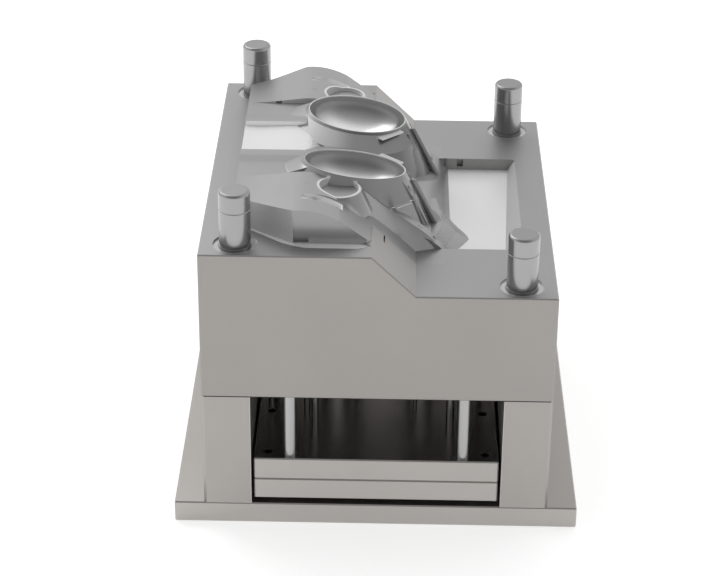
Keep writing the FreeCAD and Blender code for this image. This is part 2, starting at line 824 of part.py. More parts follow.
def ramp_mark():
    """A narrow slot across the sloped step in front of the front lamp."""
    top = land_at(ramp_mark_x)
    return block(ramp_mark_x - ramp_mark_width / 2, ramp_mark_x + ramp_mark_width / 2,
                 ramp_mark_y - ramp_mark_length / 2, ramp_mark_y + ramp_mark_length / 2,
                 top - ramp_mark_depth, top + ramp_mark_depth)


def relief_groove():
    """The shallow relief round the foot of the front insert's outer walls, narrower along the corner."""
    narrow = relief_width * relief_corner_share
    wide = relief_width * relief_end_share
    outer = (
        (insert_left_x, -corner_flank_y - narrow),
        (corner_start_x, -corner_start_y - narrow),
        (corner_end_x - relief_width, -insert_half_depth - relief_depth),
        (corner_end_x, -insert_half_depth - wide),
        (corner_end_x + relief_width, -insert_half_depth - relief_width),
        (insert_notch_x - relief_width, -insert_half_depth - relief_width),
        (insert_notch_x + relief_depth, -insert_half_depth - narrow),
        (insert_notch_x - wide, -insert_half_depth),
        (insert_notch_x - relief_width, -insert_shelf_y),
        (insert_left_x, -corner_flank_y + relief_width),
    )
    return polygon_prism(outer, high_land - relief_depth, high_land + margin)


def spacer(side):
    """A spacer block with its bolt and dowel holes."""
    inner = spacer_inner * side
    outer = half_width * side
    body = block(min(inner, outer), max(inner, outer), -half_depth, half_depth, clamp_top, spacer_top)
    outer_edges = upright_edges(body, lambda x, y: abs(abs(x) - half_width) < margin and y < 0)
    body = body.makeChamfer(spacer_edge_chamfer, outer_edges)
    cutters = []
    for y in clamp_bolt_rows_y:
        cutters.append(rod(side * clamp_bolt_x, y, clamp_top, spacer_top, screw_m24[0] + drill_gap))
    for y in dowel_rows_y:
        cutters.append(rod(side * dowel_x, y, clamp_top, clamp_top + dowel_length / 2, dowel_radius))
    return drilled(body, cutters)


def clamp_plate():
    """The bottom clamping plate."""
    body = block(-clamp_half_width, clamp_half_width, -half_depth, half_depth, 0.0, clamp_top)
    body = body.makeChamfer(plate_edge_chamfer, body.Edges)
    cutters = [rod(0.0, 0.0, 0.0, clamp_top, knockout_radius)]
    for x in (-clamp_bolt_x, clamp_bolt_x):
        for y in clamp_bolt_rows_y:
            cutters.append(screw_hole(x, y, clamp_bolt_seat, clamp_top - clamp_bolt_seat, screw_m24,
                                      True, 0.0))
    for side in (-1, 1):
        for y in dowel_rows_y:
            cutters.append(rod(side * dowel_x, y, clamp_top - dowel_length / 2, clamp_top, dowel_radius))
        for y in stop_rows_y:
            cutters.append(rod(side * stop_place_x, y, clamp_top - stop_spigot_length, clamp_top,
                               stop_spigot_radius))
    for x, y in four_places(post_place_x, post_place_y):
        cutters.append(rod(x, y, clamp_top - post_seat, clamp_top, post_radius))
    for x, y in four_places(pillar_place_x, pillar_place_y):
        cutters.append(screw_hole(x, y, pillar_screw_seat, clamp_top - pillar_screw_seat, screw_m12,
                                  True, 0.0))
    return drilled(body, cutters)


def guide_pin(x, y):
    """A shouldered leader pin: head and pressed shank in the plate, then a running part with a round tip."""
    top = land_at(x)
    tip = top + pin_reach
    shoulder = top - pin_ring_depth
    body = rod(x, y, spacer_top, tip, pin_radius)
    top_edges = [edge for edge in body.Edges if edge.BoundBox.ZMin > tip - margin]
    body = body.makeFillet(pin_tip_round, top_edges)
    shank = rod(x, y, spacer_top, shoulder, pin_shank_radius)
    head = rod(x, y, spacer_top, spacer_top + pin_head_height, pin_head_radius)
    centre = Vector(x, y, tip - oil_groove_drop)
    groove_radius = oil_groove_width / 2
    groove = Part.makeTorus(pin_radius + groove_radius - oil_groove_depth, groove_radius, centre)
    undercut = rod(x, y, shoulder, top, pin_shank_radius).cut(
        rod(x, y, shoulder, top, pin_radius - pin_undercut_depth))
    return drilled(body.fuse(shank).fuse(head), [groove, undercut]).removeSplitter()


def headed_pin(x, y, foot, top, radius):
    """A plain round pin with a flat head at its foot."""
    return rod(x, y, foot, top, radius).fuse(
        rod(x, y, foot, foot + pin_foot_height, radius + pin_foot_radius_extra)).removeSplitter()


def ejector_pin(x, y, radius, solid):
    """An ejector pin whose tip follows the moulding face of the given solid."""
    shank = headed_pin(x, y, ejector_middle, insert_bottom + tip_gap_height, radius)
    tip = rod(x, y, insert_bottom + tip_gap_height, high_land + crest_rise, radius).common(solid)
    return shank.fuse(tip)


def bush(x, y):
    """A flanged guide bush that sits in both ejector plates and runs on its post."""
    bore = post_radius + running_gap
    body = rod(x, y, ejector_bottom, ejector_top - bush_flange_height, bore + bush_wall)
    flange = rod(x, y, ejector_top - bush_flange_height, ejector_top, bore + bush_wall + bush_flange)
    return drilled(body.fuse(flange), [rod(x, y, ejector_bottom, ejector_top, bore)]).removeSplitter()


def bush_seat(x, y):
    """The stepped hole that a guide bush is pressed into."""
    outer = post_radius + running_gap + bush_wall
    step = ejector_top - bush_flange_height
    return rod(x, y, ejector_bottom, step, outer).fuse(rod(x, y, step, ejector_top, outer + bush_flange))


def ejector_plate_cutters():
    """What goes through both ejector plates: bush seats and support pillar clearances."""
    cutters = [bush_seat(x, y) for x, y in four_places(post_place_x, post_place_y)]
    for x, y in four_places(pillar_place_x, pillar_place_y):
        cutters.append(rod(x, y, ejector_bottom, ejector_top, pillar_radius + pillar_gap))
    return cutters


def ejector_base_plate():
    """The lower ejector plate, with the threads of the plate screws."""
    body = block(-ejector_half_width, ejector_half_width, -ejector_half_depth, ejector_half_depth,
                 ejector_bottom, ejector_middle)
    body = body.makeChamfer(plate_edge_chamfer, body.Edges)
    cutters = ejector_plate_cutters()
    for x in (-plate_screw_x, plate_screw_x):
        for y in plate_screw_rows_y:
            cutters.append(rod(x, y, ejector_middle - plate_screw_thread, ejector_middle, screw_m12[0]))
    return drilled(body, cutters)


def ejector_retainer_plate():
    """The upper ejector plate, which holds the heads of the return and ejector pins."""
    body = block(-ejector_half_width, ejector_half_width, -ejector_half_depth, ejector_half_depth,
                 ejector_middle, ejector_top)
    body = body.makeChamfer(plate_edge_chamfer, body.Edges)
    cutters = ejector_plate_cutters()
    pins = [(x, y, return_pin_radius) for x, y in four_places(return_pin_x, return_pin_y)]
    for side in (-1, 1):
        pins.extend((x, side * y, radius) for x, y, radius in ejector_pins)
    for x, y, radius in pins:
        cutters.append(rod(x, y, ejector_middle, ejector_top, radius))
        cutters.append(rod(x, y, ejector_middle, ejector_middle + pin_foot_height,
                           radius + pin_foot_radius_extra))
    for x in (-plate_screw_x, plate_screw_x):
        for y in plate_screw_rows_y:
            cutters.append(screw_hole(x, y, plate_screw_seat, plate_screw_seat - ejector_middle, screw_m12,
                                      False, ejector_top))
    return drilled(body, cutters)


def support_pillar(x, y):
    """A round pillar between the clamp plate and the core plate, tapped in its foot."""
    body = rod(x, y, clamp_top, spacer_top, pillar_radius)
    return drilled(body, [rod(x, y, clamp_top, clamp_top + pillar_screw_thread, screw_m12[0])])


def stop_button(x, y):
    """A rest button with a spigot in the clamp plate."""
    button = rod(x, y, clamp_top, ejector_bottom, stop_radius)
    spigot = rod(x, y, clamp_top - stop_spigot_length, clamp_top, stop_spigot_radius)
    return button.fuse(spigot).removeSplitter()


def solid_under(body, side):
    """The insert together with the low land beside it, where a pin comes out of the plate itself."""
    land = block(insert_shelf_x, half_width, window_half_depth, half_depth, spacer_top, low_land)
    return Part.Compound([body, land if side > 0 else mirrored(land)])


def build():
    """Write every piece."""
    os.makedirs("parts", exist_ok=True)
    write("clamp_plate", [clamp_plate()])
    write("spacer_left", [spacer(-1)])
    write("spacer_right", [spacer(1)])
    write("core_plate", [core_plate()])
    for side, name in ((-1, "front"), (1, "back")):
        body = core_insert(side)
        write("core_insert_" + name, [drilled(body, pin_bores(side) + insert_threads(side))])
        for number, (x, y, radius) in enumerate(ejector_pins, 1):
            pin = ejector_pin(x, side * y, radius, solid_under(body, side))
            write("ejector_pin_%s_%d" % (name, number), [pin])
    for number, (x, y) in enumerate(four_places(pin_place_x, pin_place_y), 1):
        write("guide_pin_%d" % number, [guide_pin(x, y)])
    for number, (x, y) in enumerate(four_places(return_pin_x, return_pin_y), 1):
        write("return_pin_%d" % number, [headed_pin(x, y, ejector_middle, land_at(x), return_pin_radius)])
    for number, (x, y) in enumerate(four_places(post_place_x, post_place_y), 1):
        post = rod(x, y, clamp_top - post_seat, spacer_top + post_seat, post_radius)
        write("ejector_guide_post_%d" % number, [post])
        write("ejector_guide_bush_%d" % number, [bush(x, y)])
    for number, (x, y) in enumerate(four_places(pillar_place_x, pillar_place_y), 1):
        write("support_pillar_%d" % number, [support_pillar(x, y)])
    write("ejector_base_plate", [ejector_base_plate()])
    write("ejector_retainer_plate", [ejector_retainer_plate()])
    write("stop_buttons", [stop_button(side * stop_place_x, y) for side in (-1, 1) for y in stop_rows_y])
    write("clamp_bolts", [socket_screw(x, y, clamp_bolt_seat, clamp_bolt_length, screw_m24, True)
                          for x in (-clamp_bolt_x, clamp_bolt_x) for y in clamp_bolt_rows_y])
    write("dowel_pins", [rod(side * dowel_x, y, clamp_top - dowel_length / 2, clamp_top + dowel_length / 2,
                             dowel_radius) for side in (-1, 1) for y in dowel_rows_y])
    write("core_insert_screws", [
        socket_screw(x, side * y, insert_screw_seat, insert_screw_length, screw_m16, True)
        for side in (-1, 1) for x, y in insert_screws])
    write("support_pillar_screws", [
        socket_screw(x, y, pillar_screw_seat, pillar_screw_length, screw_m12, True)
        for x, y in four_places(pillar_place_x, pillar_place_y)])
    write("ejector_plate_screws", [
        socket_screw(x, y, plate_screw_seat, plate_screw_length, screw_m12, False)
        for x in (-plate_screw_x, plate_screw_x) for y in plate_screw_rows_y])


build()
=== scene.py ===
"""Dresses the core half of a headlamp mould: steel finishes, thread turns, knurled heads and the stage."""

import json
import math

import bmesh
import bpy
from bpy.props import FloatProperty, FloatVectorProperty, IntProperty, PointerProperty
from mathutils import Matrix, Vector


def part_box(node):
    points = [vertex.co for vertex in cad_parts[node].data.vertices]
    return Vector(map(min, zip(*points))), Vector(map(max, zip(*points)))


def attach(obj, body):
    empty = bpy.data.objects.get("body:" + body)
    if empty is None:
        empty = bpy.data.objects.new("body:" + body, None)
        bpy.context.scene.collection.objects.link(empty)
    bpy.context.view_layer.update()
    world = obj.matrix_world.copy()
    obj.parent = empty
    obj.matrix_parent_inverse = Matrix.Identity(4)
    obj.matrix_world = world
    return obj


bl_info = {
    "name": "Headlamp mould finish",
    "version": (1, 0, 0),
    "blender": (4, 5, 0),
    "location": "3D View > Sidebar > Mould",
    "description": "Steel finishes and small machined details for the core half of a headlamp mould",
    "category": "Object",
}

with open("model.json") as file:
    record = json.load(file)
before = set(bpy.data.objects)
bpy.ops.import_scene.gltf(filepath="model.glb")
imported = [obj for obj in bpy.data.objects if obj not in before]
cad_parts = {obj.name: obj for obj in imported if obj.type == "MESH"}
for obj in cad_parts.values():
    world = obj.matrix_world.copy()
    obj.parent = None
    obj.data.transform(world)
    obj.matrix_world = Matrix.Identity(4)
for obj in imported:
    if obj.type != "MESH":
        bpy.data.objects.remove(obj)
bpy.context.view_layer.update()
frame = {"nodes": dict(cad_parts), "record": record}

MM = 0.001

# Heights of the plates, read from the frame
PLATE_LOW, PLATE_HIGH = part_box("core_plate")
HIGH_LAND = PLATE_HIGH.z
LOW_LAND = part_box("return_pin_2")[1].z
RETAINER_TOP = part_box("ejector_retainer_plate")[1].z
SPACER_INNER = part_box("spacer_right")[0].x

# Levels of the moulding face and of the core plate's cuts, in metres
RELIEF_FLOOR = HIGH_LAND - 3 * MM
WINDOW_FLOOR = LOW_LAND - 28 * MM
VALLEY_FLOOR = LOW_LAND + 148 * MM
WING_LEVEL = LOW_LAND + 150 * MM
RING_FLOOR = LOW_LAND + 143 * MM
VALLEY_FIN_Z = (LOW_LAND + 132 * MM, LOW_LAND + 134.5 * MM)
HUMP_FIN_Z = (LOW_LAND + 87 * MM, LOW_LAND + 89.5 * MM)

# Places on the moulding face, in metres. Y is counted from the middle plane between the lamps.
# A FADE pair gives where a finish is still absent and where it is whole.
VALLEY_END_X = -150 * MM
LIP_INNER_Y = 75 * MM
INSERT_NOTCH_X = -19 * MM
INSERT_SHELF_Y = 300 * MM
RAMP_FADE_Y = (222 * MM, 234 * MM)
HUMP_STEP_Y = (192 * MM, 199 * MM)
HUMP_STEP_FADE_X = (-146 * MM, -156 * MM)
WINDOW_WALL_X = 272 * MM
VALLEY_FIN_X = (-10 * MM, 54 * MM)
VALLEY_FIN_FADE_Y = (92 * MM, 90 * MM)
HUMP_FIN_X = (26 * MM, 72 * MM)
HUMP_FIN_FADE_Y = (172 * MM, 176 * MM)
SLOT_X = (-165 * MM, -78 * MM)
SLOT_Y = (302 * MM, 326 * MM)
RING_X = -88 * MM
RING_Y = 247 * MM
RING_RADIUS = 42 * MM
RING_FINISH_WIDTH = 5 * MM

# The reflector bowl of each lamp: a tilted half ellipsoid
BOWL_X = -56.5 * MM
BOWL_Y = 134 * MM
BOWL_LEVEL = LOW_LAND + 154 * MM
BOWL_HALF_LENGTH = 109 * MM
BOWL_HALF_WIDTH = 81 * MM
BOWL_DEPTH = 62 * MM
BOWL_FALL = math.radians(7.0)
BOWL_ROLL = math.radians(4.8)

# The recesses round the guide pins
PIN_RECESS_RADIUS = 47 * MM
GUIDE_PIN_BOXES = [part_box("guide_pin_%d" % number) for number in (1, 2, 3, 4)]
GUIDE_PIN_PLACES = [((low.x + high.x) / 2, (low.y + high.y) / 2) for low, high in GUIDE_PIN_BOXES]

# How fine each pattern is, how far grinding marks are drawn out, and the height of their bump
GRINDING_GRAIN = 420.0
FACE_GRAIN = 300.0
CUTTER_GRAIN = 240.0
PIN_GRAIN = 500.0
BUSH_GRAIN = 600.0
BLOOM_GRAIN = 90.0
STAIN_GRAIN = 40.0
WIPE_GRAIN = 6.0
DRAWN_OUT = 0.04
MARK_HEIGHT = 0.1 * MM
BRONZE = (0.42, 0.27, 0.10)
BRONZE_STAIN = (0.26, 0.16, 0.07)

# Screw heads with knurls: node, body, radius, height, whether they point up, and how far the
# knurls' middle lies from the head's middle towards the shank
KNURLED_HEADS = (
    ("clamp_bolts", "base", 18 * MM, 20 * MM, False, 2.5 * MM),
    ("ejector_plate_screws", "ejector", 9 * MM, 10 * MM, True, 1 * MM),
)

# Camera: turn, downward pitch and roll in radians, and its place
CAMERA_TURN = (-0.0135, 0.497, 0.01)
CAMERA_PLACE = (0.015105, -4.429672, 2.748315)
CAMERA_REACH = 200.0
SENSOR_WIDTH = 36.0

# Light: place and side length of the soft lamp, and the direction and edges of the dim hood
KEY_PLACE = (-2.2, 2.6, 4.2)
KEY_SIZE = 3.2
HOOD_TOWARD = (0.0, -0.6, 0.8)
HOOD_EDGES = (0.45, 0.95)


class Signal:
    """A number, colour or vector in a material, with arithmetic that adds the nodes for it."""

    def __init__(self, recipe, socket):
        self.recipe = recipe
        self.socket = socket

    def _maths(self, operation, *values):
        return self.recipe.add("ShaderNodeMath", {"operation": operation}, dict(enumerate(values)))

    def __add__(self, other):
        return self._maths("ADD", self, other)

    __radd__ = __add__

    def __sub__(self, other):
        return self._maths("SUBTRACT", self, other)

    def __rsub__(self, other):
        return self._maths("SUBTRACT", other, self)

    def __mul__(self, other):
        return self._maths("MULTIPLY", self, other)

    __rmul__ = __mul__

    def __truediv__(self, other):
        return self._maths("DIVIDE", self, other)

    def __pow__(self, other):
        return self._maths("POWER", self, other)

    def __abs__(self):
        return self._maths("ABSOLUTE", self)

    def most(self, other):
        """The larger of two values."""
        return self._maths("MAXIMUM", self, other)

    def rise(self, low, high):
        """0 below low, 1 above high, and a smooth rise between them. It falls where low is above high."""
        return self.recipe.add(
            "ShaderNodeMapRange",
            {"interpolation_type": "SMOOTHSTEP", "clamp": True},
            {"Value": self, "From Min": min(low, high), "From Max": max(low, high),
             "To Min": 0.0 if high > low else 1.0, "To Max": 1.0 if high > low else 0.0},
        )

    def band(self, low, high, blur):
        """1 between low and high, 0 outside them, with soft ends."""
        return self.rise(low - blur, low + blur) * self.rise(high + blur, high - blur)


class Recipe:
    """One material, built node by node on Object coordinates."""

    def __init__(self, name, roughness=0.4, metallic=1.0):
        self.material = bpy.data.materials.new(name)
        self.material.use_nodes = True
        self.tree = self.material.node_tree
        self.tree.nodes.clear()
        self.surface = self.tree.nodes.new("ShaderNodeBsdfPrincipled")
        self.surface.inputs["Roughness"].default_value = roughness
        self.surface.inputs["Metallic"].default_value = metallic
        output = self.tree.nodes.new("ShaderNodeOutputMaterial")
        self.tree.links.new(self.surface.outputs["BSDF"], output.inputs["Surface"])

    def add(self, kind, settings=None, inputs=None, output=0):
        """Adds a node: its settings first, then the values or links of its inputs. Gives one output."""
        node = self.tree.nodes.new(kind)
        for name, value in (settings or {}).items():
            setattr(node, name, value)
        for key, value in (inputs or {}).items():
            self.feed(node.inputs[key], value)
        return Signal(self, node.outputs[output])

    def feed(self, socket, value):
        """Links a signal to a socket, or sets the socket's own value."""
        if isinstance(value, Signal):
            self.tree.links.new(value.socket, socket)
        elif hasattr(value, "__len__") and len(value) == 3 and socket.type == "RGBA":
            socket.default_value = (*value, 1.0)
        else:
            socket.default_value = value

    def place(self):
        """The point on the surface in the object's own frame."""
        return self.add("ShaderNodeTexCoord", output="Object")

    def axes(self, vector):
        """The three parts of a vector."""
        node = self.tree.nodes.new("ShaderNodeSeparateXYZ")
        self.feed(node.inputs[0], vector)
        return [Signal(self, out) for out in node.outputs]

    def facing(self):
        """The direction that the surface faces, as three parts."""
        return self.axes(self.add("ShaderNodeNewGeometry", output="True Normal"))

    def stretched(self, vector, scale):
        """A vector scaled along each axis, so that a pattern is drawn out."""
        return self.add("ShaderNodeMapping", {"vector_type": "POINT"}, {"Vector": vector, "Scale": scale})

    def noise(self, vector, scale, detail=2.0, roughness=0.5):
        """Soft random variation from 0 to 1."""
        return self.add("ShaderNodeTexNoise", {"noise_dimensions": "3D"},
                        {"Vector": vector, "Scale": scale, "Detail": detail, "Roughness": roughness})

    def mixed(self, share, first, second):
        """The first colour where the share is 0, the second where it is 1."""
        node = self.tree.nodes.new("ShaderNodeMix")
        node.data_type = "RGBA"
        self.feed(node.inputs[0], share)
        self.feed(node.inputs[6], first)
        self.feed(node.inputs[7], second)
        return Signal(self, node.outputs[2])

    def tinted(self, colour, strength):
        """A colour made lighter or darker by a number."""
        return self.add("ShaderNodeVectorMath", {"operation": "SCALE"}, {0: colour, "Scale": strength})

    def relief(self, height, distance, strength=1.0):
        """A surface normal that follows a height pattern."""
        return self.add("ShaderNodeBump", {}, {"Height": height, "Distance": distance, "Strength": strength})

    def blended(self, share, first, second):
        """The first number where the share is 0, the second where it is 1."""
        return first * (1.0 - share) + second * share

    def finish(self, **sockets):
        """Feeds the surface's own sockets and gives the finished material."""
        for name, value in sockets.items():
            self.feed(self.surface.inputs[name.replace("_", " ").title()], value)
        return self.material


def grey(level, warmth=0.0):
    """A steel grey as written on a screen, from 0 to 255, with a little more red and less blue if warm."""
    def linear(value):
        share = value / 255.0
        return ((share + 0.055) / 1.055) ** 2.4 if share > 0.04045 else share / 12.92
    return (linear(level + warmth), linear(level), linear(level - warmth))


def grinding(recipe, point, grain=GRINDING_GRAIN):
    """Fine straight grinding marks along X, from 0 to 1."""
    return recipe.noise(recipe.stretched(point, (DRAWN_OUT, 1.0, 1.0)), grain, 3.0, 0.6)


def handling(recipe, point):
    """Broad uneven patches left by wiping and handling, from 0 to 1."""
    return recipe.noise(point, WIPE_GRAIN, 3.0, 0.55)


def ground_plate(name, level, warmth, roughness):
    """Surface-ground plate steel with fine grinding marks and faint wipe marks."""
    recipe = Recipe(name)
    point = recipe.place()
    marks = grinding(recipe, point)
    patches = handling(recipe, point)
    colour = recipe.tinted(grey(level, warmth), 0.93 + marks * 0.06 + patches * 0.08)
    return recipe.finish(base_color=colour, roughness=roughness - 0.05 + marks * 0.1,
                         normal=recipe.relief(marks, MARK_HEIGHT, 0.25))


def pin_recesses(x, y):
    """1 inside the shallow round recess of any guide pin."""
    blur = 0.5 * MM
    recess = None
    for pin_x, pin_y in GUIDE_PIN_PLACES:
        away = ((x - pin_x) ** 2.0 + (y - pin_y) ** 2.0) ** 0.5
        near = away.rise(PIN_RECESS_RADIUS + blur, PIN_RECESS_RADIUS - blur)
        recess = near if recess is None else recess.most(near)
    return recess


def core_plate_steel(look):
    """The core plate: ground outside, with a relief round the front walls painted white as a reflection, pin
    recesses painted bright as a highlight, and sloping faces painted lighter.
    """
    recipe = Recipe("core_plate_ground_steel")
    point = recipe.place()
    x, y, z = recipe.axes(point)
    _, _, up = recipe.facing()
    marks = grinding(recipe, point)
    patches = handling(recipe, point)
    flat = up.rise(0.6, 0.9)
    sloped_face_painted_light = up.band(0.62, 0.8, 0.05)
    recess = pin_recesses(x, y)
    relief = up.rise(0.9, 0.98) * z.band(RELIEF_FLOOR - 1.4 * MM, RELIEF_FLOOR + 1.4 * MM, 0.4 * MM)
    relief = relief * abs(y).rise(INSERT_SHELF_Y - 10 * MM, INSERT_SHELF_Y) * (1.0 - recess)
    pocket_wall = (1.0 - flat) * abs(x).rise(PLATE_HIGH.x - 1 * MM, PLATE_HIGH.x - 3 * MM)
    pocket_wall = pocket_wall * abs(y).rise(PLATE_HIGH.y - 1 * MM, PLATE_HIGH.y - 4 * MM)
    pocket_wall = pocket_wall * z.rise(PLATE_LOW.z + 4 * MM, PLATE_LOW.z + 8 * MM) * up.rise(0.5, 0.3)

    colour = recipe.mixed(flat, grey(look.side_grey, look.warmth), grey(look.land_grey))
    # Painted light: sloping faces are painted a quarter lighter than the rest of the plate.
    colour = recipe.tinted(colour, 0.94 + marks * 0.05 + patches * 0.08 + 0.25 * sloped_face_painted_light)
    colour = recipe.mixed(pocket_wall * 0.75, colour, grey(look.wall_grey))
    # Painted highlight: the recess round each guide pin is painted a bright grey.
    colour = recipe.mixed(recess, colour, grey(look.recess_painted_highlight_grey))
    # Painted reflection: the relief floor round the front walls is painted white.
    colour = recipe.mixed(relief, colour, grey(look.reflection_painted_white))
    matt = relief.most(pocket_wall * 0.5).most(recess * 0.5)
    return recipe.finish(base_color=colour, metallic=1.0 - 0.8 * matt,
                         roughness=recipe.blended(relief.most(recess * 0.6), 0.42 + marks * 0.08, 0.1),
                         normal=recipe.relief(marks, MARK_HEIGHT, 0.2))


class FaceAreas:
    """The areas of the moulding face that have a finish or a painted light, shade or reflection of their own,
    each a share from 0 to 1.
    """

    def __init__(self, recipe, point):
        self.x, self.y, self.z = recipe.axes(point)
        self.sideways, self.turned, self.up = recipe.facing()
        self.out = abs(self.y)
        self.level = self.up.rise(0.35, 0.8)
        self.upright = 1.0 - self.level
        self.measure_bowl()
        self.find_floors()
        self.find_walls()
        self.find_details()

    def measure_bowl(self):
        """The bowl's inside, its upper wall, its rim, and the flanks beside it."""
        across = self.x - BOWL_X
        aside = self.out - BOWL_Y
        above = self.z - BOWL_LEVEL
        along = across * math.cos(BOWL_FALL) - above * math.sin(BOWL_FALL)
        height = across * math.sin(BOWL_FALL) + above * math.cos(BOWL_FALL)
        side = aside * math.cos(BOWL_ROLL) + height * math.sin(BOWL_ROLL)
        rise = height * math.cos(BOWL_ROLL) - aside * math.sin(BOWL_ROLL)
        self.ring_share = ((along / BOWL_HALF_LENGTH) ** 2.0 + (side / BOWL_HALF_WIDTH) ** 2.0) ** 0.5
        depth = rise / BOWL_DEPTH
        ball = (self.ring_share ** 2.0 + depth ** 2.0) ** 0.5
        self.bowl = ball.rise(1.03, 1.01) * rise.rise(3 * MM, 1 * MM)
        self.bowl_bottom = depth.rise(-0.35, -0.95)
        self.bowl_top = self.bowl * depth.rise(-0.45, -0.1)
        # The rims carry a painted highlight that is whole towards the back and right, and falls to 0.3 on the
        # left.
        whole_rim = self.x.rise(BOWL_X - 90 * MM, BOWL_X - 20 * MM).most(self.y.rise(-10 * MM, 10 * MM))
        rim = self.ring_share.band(0.998, 1.016, 0.005) * abs(rise).rise(3 * MM, 2 * MM)
        self.rim = rim * (0.3 + 0.7 * whole_rim)
        tip = self.x.rise(BOWL_X - BOWL_HALF_LENGTH, BOWL_X - 1.1 * BOWL_HALF_LENGTH)
        tip = tip * self.z.rise(WING_LEVEL - 1 * MM, WING_LEVEL + 2 * MM)
        self.tip = tip * aside.band(-50 * MM, 50 * MM, 4 * MM)

    def find_floors(self):
        """The mirror floors, which are painted white as a reflection: the window's, the valley's, the slot's,
        and the rim of the round recess.
        """
        x, z, out, up = self.x, self.z, self.out, self.up
        self.window = z.rise(WINDOW_FLOOR + 2.5 * MM, WINDOW_FLOOR + 1.0 * MM) * up.rise(0.9, 0.98)
        valley = z.band(VALLEY_FLOOR - 14 * MM, VALLEY_FLOOR + 1 * MM, 0.5 * MM) * up.rise(0.9, 0.97)
        valley = valley * abs(self.turned).rise(0.12, 0.05)
        valley = valley * x.rise(VALLEY_END_X + 20 * MM, VALLEY_END_X + 10 * MM)
        self.valley = valley * out.rise(LIP_INNER_Y, LIP_INNER_Y - 1 * MM)
        slot_floor = out.band(*SLOT_Y, 0.6 * MM) * x.band(*SLOT_X, 1 * MM)
        self.slot_floor = slot_floor * z.rise(HIGH_LAND + 30 * MM, HIGH_LAND + 34 * MM)
        from_ring = ((x - RING_X) ** 2.0 + (out - RING_Y) ** 2.0) ** 0.5
        ring = from_ring.band(RING_RADIUS - 1 * MM, RING_RADIUS + RING_FINISH_WIDTH, 2 * MM)
        ring = ring * z.rise(RING_FLOOR - 13 * MM, RING_FLOOR - 3 * MM)
        self.ring = ring * self.ring_share.rise(1.04, 1.06) * 0.8

    def find_walls(self):
        """The walls: the valley's, the window's slope, the front ones, and the step beside the wing."""
        x, z, out, up = self.x, self.z, self.out, self.up
        valley_wall = out.band(LIP_INNER_Y - 2 * MM, LIP_INNER_Y + 1 * MM, 0.5 * MM) * up.rise(0.4, 0.2)
        valley_wall = valley_wall * x.rise(VALLEY_END_X, VALLEY_END_X - 30 * MM)
        self.valley_wall = valley_wall * abs(self.turned).rise(0.5, 0.8)
        slope = x.rise(WINDOW_WALL_X - 4 * MM, WINDOW_WALL_X) * up.band(0.4, 0.94, 0.02)
        self.window_slope = slope * z.rise(LOW_LAND + 2 * MM, LOW_LAND + 1 * MM)
        front_wall = out.rise(INSERT_SHELF_Y - 6 * MM, INSERT_SHELF_Y) * self.upright
        front_wall = front_wall * x.rise(INSERT_NOTCH_X + 30 * MM, INSERT_NOTCH_X + 20 * MM)
        self.front_wall = front_wall * z.rise(HIGH_LAND - 6 * MM, HIGH_LAND - 4 * MM)
        self.corner_wall = self.front_wall * abs(self.sideways).rise(0.25, 0.45)
        hump_step = self.upright * out.band(*HUMP_STEP_Y, 1 * MM)
        hump_step = hump_step * x.rise(*HUMP_STEP_FADE_X)
        self.hump_step = hump_step * z.rise(WING_LEVEL - 6 * MM, WING_LEVEL - 2 * MM)

    def find_details(self):
        """The ramp beside the front land, the flank over the valley, and the two fins."""
        x, z, out, up = self.x, self.z, self.out, self.up
        ramp = x.rise(INSERT_NOTCH_X - 40 * MM, INSERT_NOTCH_X + 10 * MM) * up.rise(0.15, 0.45)
        self.ramp = ramp * out.rise(*RAMP_FADE_Y)
        floors = self.window.most(self.valley)
        self.mirror = floors.most(self.valley_wall).most(self.slot_floor).most(self.ring)
        flank = self.ring_share.band(1.04, 1.9, 0.02) * out.rise(BOWL_Y + 10 * MM, BOWL_Y - 10 * MM)
        self.valley_flank = flank * x.rise(BOWL_X - 60 * MM, BOWL_X) * (1.0 - self.mirror)
        inner_fin = z.band(*VALLEY_FIN_Z, 0.3 * MM) * x.band(*VALLEY_FIN_X, 4 * MM)
        inner_fin = inner_fin * out.rise(*VALLEY_FIN_FADE_Y)
        outer_fin = z.band(*HUMP_FIN_Z, 0.3 * MM) * x.band(*HUMP_FIN_X, 4 * MM)
        outer_fin = outer_fin * out.rise(*HUMP_FIN_FADE_Y)
        self.fins = inner_fin.most(outer_fin) * (1.0 - self.bowl) * (1.0 - self.rim)


